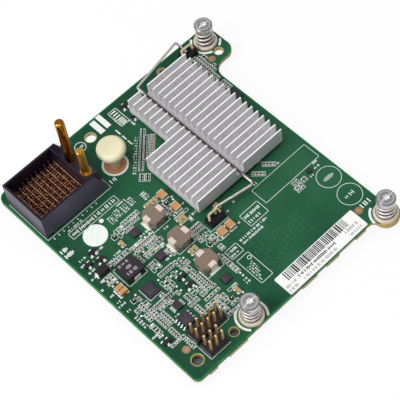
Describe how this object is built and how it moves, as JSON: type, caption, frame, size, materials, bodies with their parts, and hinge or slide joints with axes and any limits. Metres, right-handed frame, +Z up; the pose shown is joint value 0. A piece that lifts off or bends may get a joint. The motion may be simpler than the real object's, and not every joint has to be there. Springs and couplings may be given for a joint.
{
  "type": "mezzanine card",
  "caption": "Green plug-in circuit card with a finned heat sink under a wire clip, an open stacking connector with guide pins, a pull knob and sprung captive screws",
  "frame": {"origin": "middle of the outline box, at the level of the screw ferrules' feet, on which the card lies", "axes": "+Z up from the component side, +X toward the ear with its screw, +Y from the label's edge toward the connector's edge"},
  "size_m": [0.0976, 0.1036, 0.0326],
  "materials": {
    "solder_mask_board": "green solder mask over fibreglass",
    "label_paper": "white printed label",
    "extruded_aluminium": "plain extruded",
    "connector_plastic": "filled moulding resin",
    "contact_gold": "gold plated",
    "pin_gold": "gold plated",
    "cream_plastic": "natural nylon",
    "screw_steel": "zinc plated",
    "plated_ferrule": "tin plated",
    "clip_steel": "drawn wire",
    "black_plastic": "moulded",
    "pressed_powder": "pressed iron powder",
    "orange_ceramic": "fired ceramic",
    "yellow_ceramic": "fired ceramic",
    "solder_tin": "tin plated",
    "pad_rubber": "soft pad",
    "chip_black": "moulded epoxy",
    "resistor_black": "glazed chip"
  },
  "bodies": {
    "card": {"anchor_base_far": "black_plastic", "anchor_base_near": "black_plastic", "anchor_staple_far": "clip_steel", "anchor_staple_near": "clip_steel", "chip_leads_large": "solder_tin", "chip_leads_small": "solder_tin", "chip_resistors": "resistor_black", "circuit_board": "solder_mask_board", "connector_housing": "connector_plastic", "controller_chip": "chip_black", "diode": "chip_black", "diode_ends": "solder_tin", "edge_chip": "chip_black", "ferrite_beads": "chip_black", "ground_blades": "contact_gold", "guide_pin_long": "pin_gold", "guide_pin_short": "pin_gold", "header_pins_long": "pin_gold", "header_pins_short": "pin_gold", "header_strip_long": "black_plastic", "header_strip_short": "black_plastic", "heat_sink": "extruded_aluminium", "inductor_1": "pressed_powder", "inductor_2": "pressed_powder", "inductor_3": "pressed_powder", "inductor_terminals": "solder_tin", "large_capacitor_ends": "solder_tin", "large_capacitors": "orange_ceramic", "leaded_chip_large": "chip_black", "leaded_chip_small": "chip_black", "memory_chip": "chip_black", "paper_label": "label_paper", "power_chip": "chip_black", "power_chip_ends": "solder_tin", "push_knob": "cream_plastic", "screw_ferrule_1": "plated_ferrule", "screw_ferrule_2": "plated_ferrule", "screw_ferrule_3": "plated_ferrule", "screw_spring_1": "screw_steel", "screw_spring_2": "screw_steel", "screw_spring_3": "screw_steel", "sensor_chip": "chip_black", "signal_contacts": "contact_gold", "sink_clip": "clip_steel", "small_capacitor_ends": "solder_tin", "small_capacitors": "yellow_ceramic", "square_chips": "chip_black", "thermal_pad": "pad_rubber", "transistor_leads": "solder_tin", "transistors": "chip_black"},
    "slider_1": {"screw_ring_1": "screw_steel"},
    "screw_1": {"captive_screw_1": "screw_steel"},
    "slider_2": {"screw_ring_2": "screw_steel"},
    "screw_2": {"captive_screw_2": "screw_steel"},
    "slider_3": {"screw_ring_3": "screw_steel"},
    "screw_3": {"captive_screw_3": "screw_steel"}
  },
  "joints": [
    {"name": "screw_1_push", "type": "slide", "parent": "card", "child": "slider_1", "axis": [0, 0, 1], "range_m": [-0.003, 0], "stiffness_N_per_m": 600, "springref_m": 0.003, "deforming": ["screw_spring_1"]},
    {"name": "screw_1_turn", "type": "hinge", "parent": "slider_1", "child": "screw_1", "pos_m": [0.0437, 0.0466, 0.0036], "axis": [0, 0, 1], "continuous": true},
    {"name": "screw_2_push", "type": "slide", "parent": "card", "child": "slider_2", "axis": [0, 0, 1], "range_m": [-0.003, 0], "stiffness_N_per_m": 600, "springref_m": 0.003, "deforming": ["screw_spring_2"]},
    {"name": "screw_2_turn", "type": "hinge", "parent": "slider_2", "child": "screw_2", "pos_m": [-0.0211, -0.0417, 0.0036], "axis": [0, 0, 1], "continuous": true},
    {"name": "screw_3_push", "type": "slide", "parent": "card", "child": "slider_3", "axis": [0, 0, 1], "range_m": [-0.003, 0], "stiffness_N_per_m": 600, "springref_m": 0.003, "deforming": ["screw_spring_3"]},
    {"name": "screw_3_turn", "type": "hinge", "parent": "slider_3", "child": "screw_3", "pos_m": [0.0348, -0.0471, 0.0036], "axis": [0, 0, 1], "continuous": true}
  ]
}
